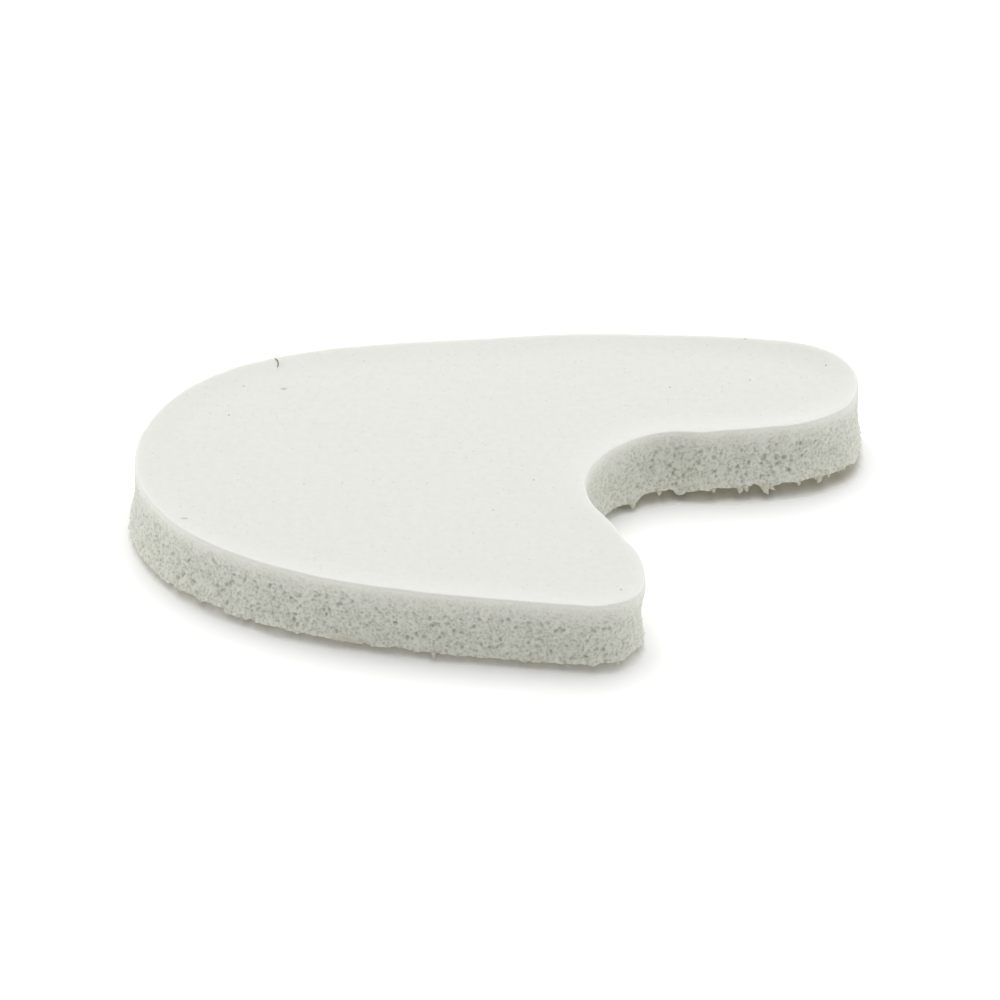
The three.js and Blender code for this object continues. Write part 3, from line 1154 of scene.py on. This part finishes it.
# %% Build the flecks
# Each fleck: x, y, half length, half width in mm, turn in degrees, darkness from 0 amber to 1 dirt
FLECKS = (
    (-20.8, 14.67, 0.30, 0.16, 10, 0.1),
    (-29.8, -9.13, 0.45, 0.13, 8, 0.0),
    (24.05, 23.2, 0.16, 0.10, 0, 0.0),
    (24.35, 16.29, 0.14, 0.10, 40, 0.1),
    (-24.66, 15.17, 0.18, 0.10, 60, 0.0),
    (-0.54, -7.44, 0.14, 0.10, 0, 0.0),
    (11.39, -21.65, 0.12, 0.12, 0, 0.35),
    (31.79, 18.73, 0.12, 0.09, 30, 0.5),
    (16.57, 14.98, 0.09, 0.08, 0, 0.4),
    (3.35, -2.07, 0.09, 0.08, 0, 0.4),
    (-25.97, 9.78, 0.10, 0.09, 0, 0.5),
    (-18.5, -2.72, 0.08, 0.06, 0, 0.35),
    (-14.89, -2.61, 0.08, 0.06, 0, 0.35),
    (-6.82, -2.61, 0.08, 0.06, 0, 0.35),
)
FLECK_HEIGHT = 0.03
FLECK_RINGS = 7
# The angle that is left open at the top and the bottom of the squeezed ball
FLECK_POLE = 0.08


def skin_at(flat):
    """The skin's height at any place, from its distance to the nearest point of the outline."""
    away = np.linalg.norm(flat[:, None] - edge, axis=2)
    nearest, inset = away.argmin(axis=1), away.min(axis=1)
    return skin_surface(flat, lift(rim_x[nearest], inset), inset)


half_long, half_wide, fleck_turn, darkness = np.array(FLECKS).T[2:]
fleck_turn = np.radians(fleck_turn)
polar = np.linspace(FLECK_POLE, np.pi - FLECK_POLE, FLECK_RINGS)[None, :]
fleck_place = np.array(FLECKS)[:, :2]
fleck_root = raised(fleck_place, skin_at(fleck_place))
fleck_paths = fleck_root[:, None] - (FLECK_HEIGHT * np.cos(polar))[..., None] * UPWARDS
fleck_across, fleck_through = half_long[:, None] * np.sin(polar), half_wide[:, None] * np.sin(polar)
long_way = np.stack([np.cos(fleck_turn), np.sin(fleck_turn)], axis=-1)
long_way, wide_way = raised(long_way, 0.0), raised(turned_left(long_way), 0.0)
fleck_points, fleck_faces = tubes(fleck_paths, fleck_across, fleck_through, long_way, wide_way)
fleck_dark = np.repeat(darkness, FLECK_RINGS * TOOTH_SIDES)

# %% Build the fibre
FIBRE_START, FIBRE_END = np.array([-21.8, 19.8]), np.array([-21.5, 18.35])
FIBRE_BEND = 0.2
FIBRE_RADIUS = 0.045
FIBRE_RINGS = 12
FIBRE_ARCH = 0.12
FIBRE_TIP = 0.3
TIP_STEEPNESS = 6

t = np.linspace(0, 1, FIBRE_RINGS)[:, None]
fibre_run = FIBRE_END - FIBRE_START
fibre_side = turned_left(fibre_run) / np.linalg.norm(fibre_run)
fibre_flat = FIBRE_START + t * fibre_run + FIBRE_BEND * np.sin(np.pi * t) * fibre_side
fibre_height = skin_at(fibre_flat) + FIBRE_RADIUS + FIBRE_ARCH * np.sin(np.pi * t[:, 0])
fibre_path = raised(fibre_flat, fibre_height)[None]
thinning = FIBRE_RADIUS * np.minimum(1, TIP_STEEPNESS * np.minimum(t, 1 - t) + FIBRE_TIP)[None, :, 0]
side_way = raised(fibre_side[None], 0.0)
fibre_points, fibre_faces = tubes(fibre_path, thinning, thinning, side_way, UPWARDS[None])
fleck_values = {"dark": np.concatenate([fleck_dark, np.ones(len(fibre_points))])}
all_faces = fleck_faces + [face + len(fleck_points) for face in fibre_faces]
flecks = make_piece("flecks", np.concatenate([fleck_points, fibre_points]), all_faces, fleck_values)

# %% Make the flecks' material
FLECK_AMBER = (0.60, 0.565, 0.38, 1)
FLECK_DIRT = (0.09, 0.085, 0.08, 1)


def fleck_material():
    """Amber going over to dirt, with the drift that the other materials use."""
    material = plain_material("flecks", FLECK_AMBER, roughness=0.6)
    tree = material.node_tree
    drift = use_group(tree, drift_group, Color=FLECK_AMBER, Second_Color=ADHESIVE_SECOND)
    feed(tree, drift, Scale=3000.0)
    colour = mix_colour(tree, attribute(tree, "dark"), drift.outputs["Color"], FLECK_DIRT)
    feed(tree, tree.nodes["Principled BSDF"], Base_Color=colour)
    return material


flecks.data.materials.append(fleck_material())
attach(flecks, "root")
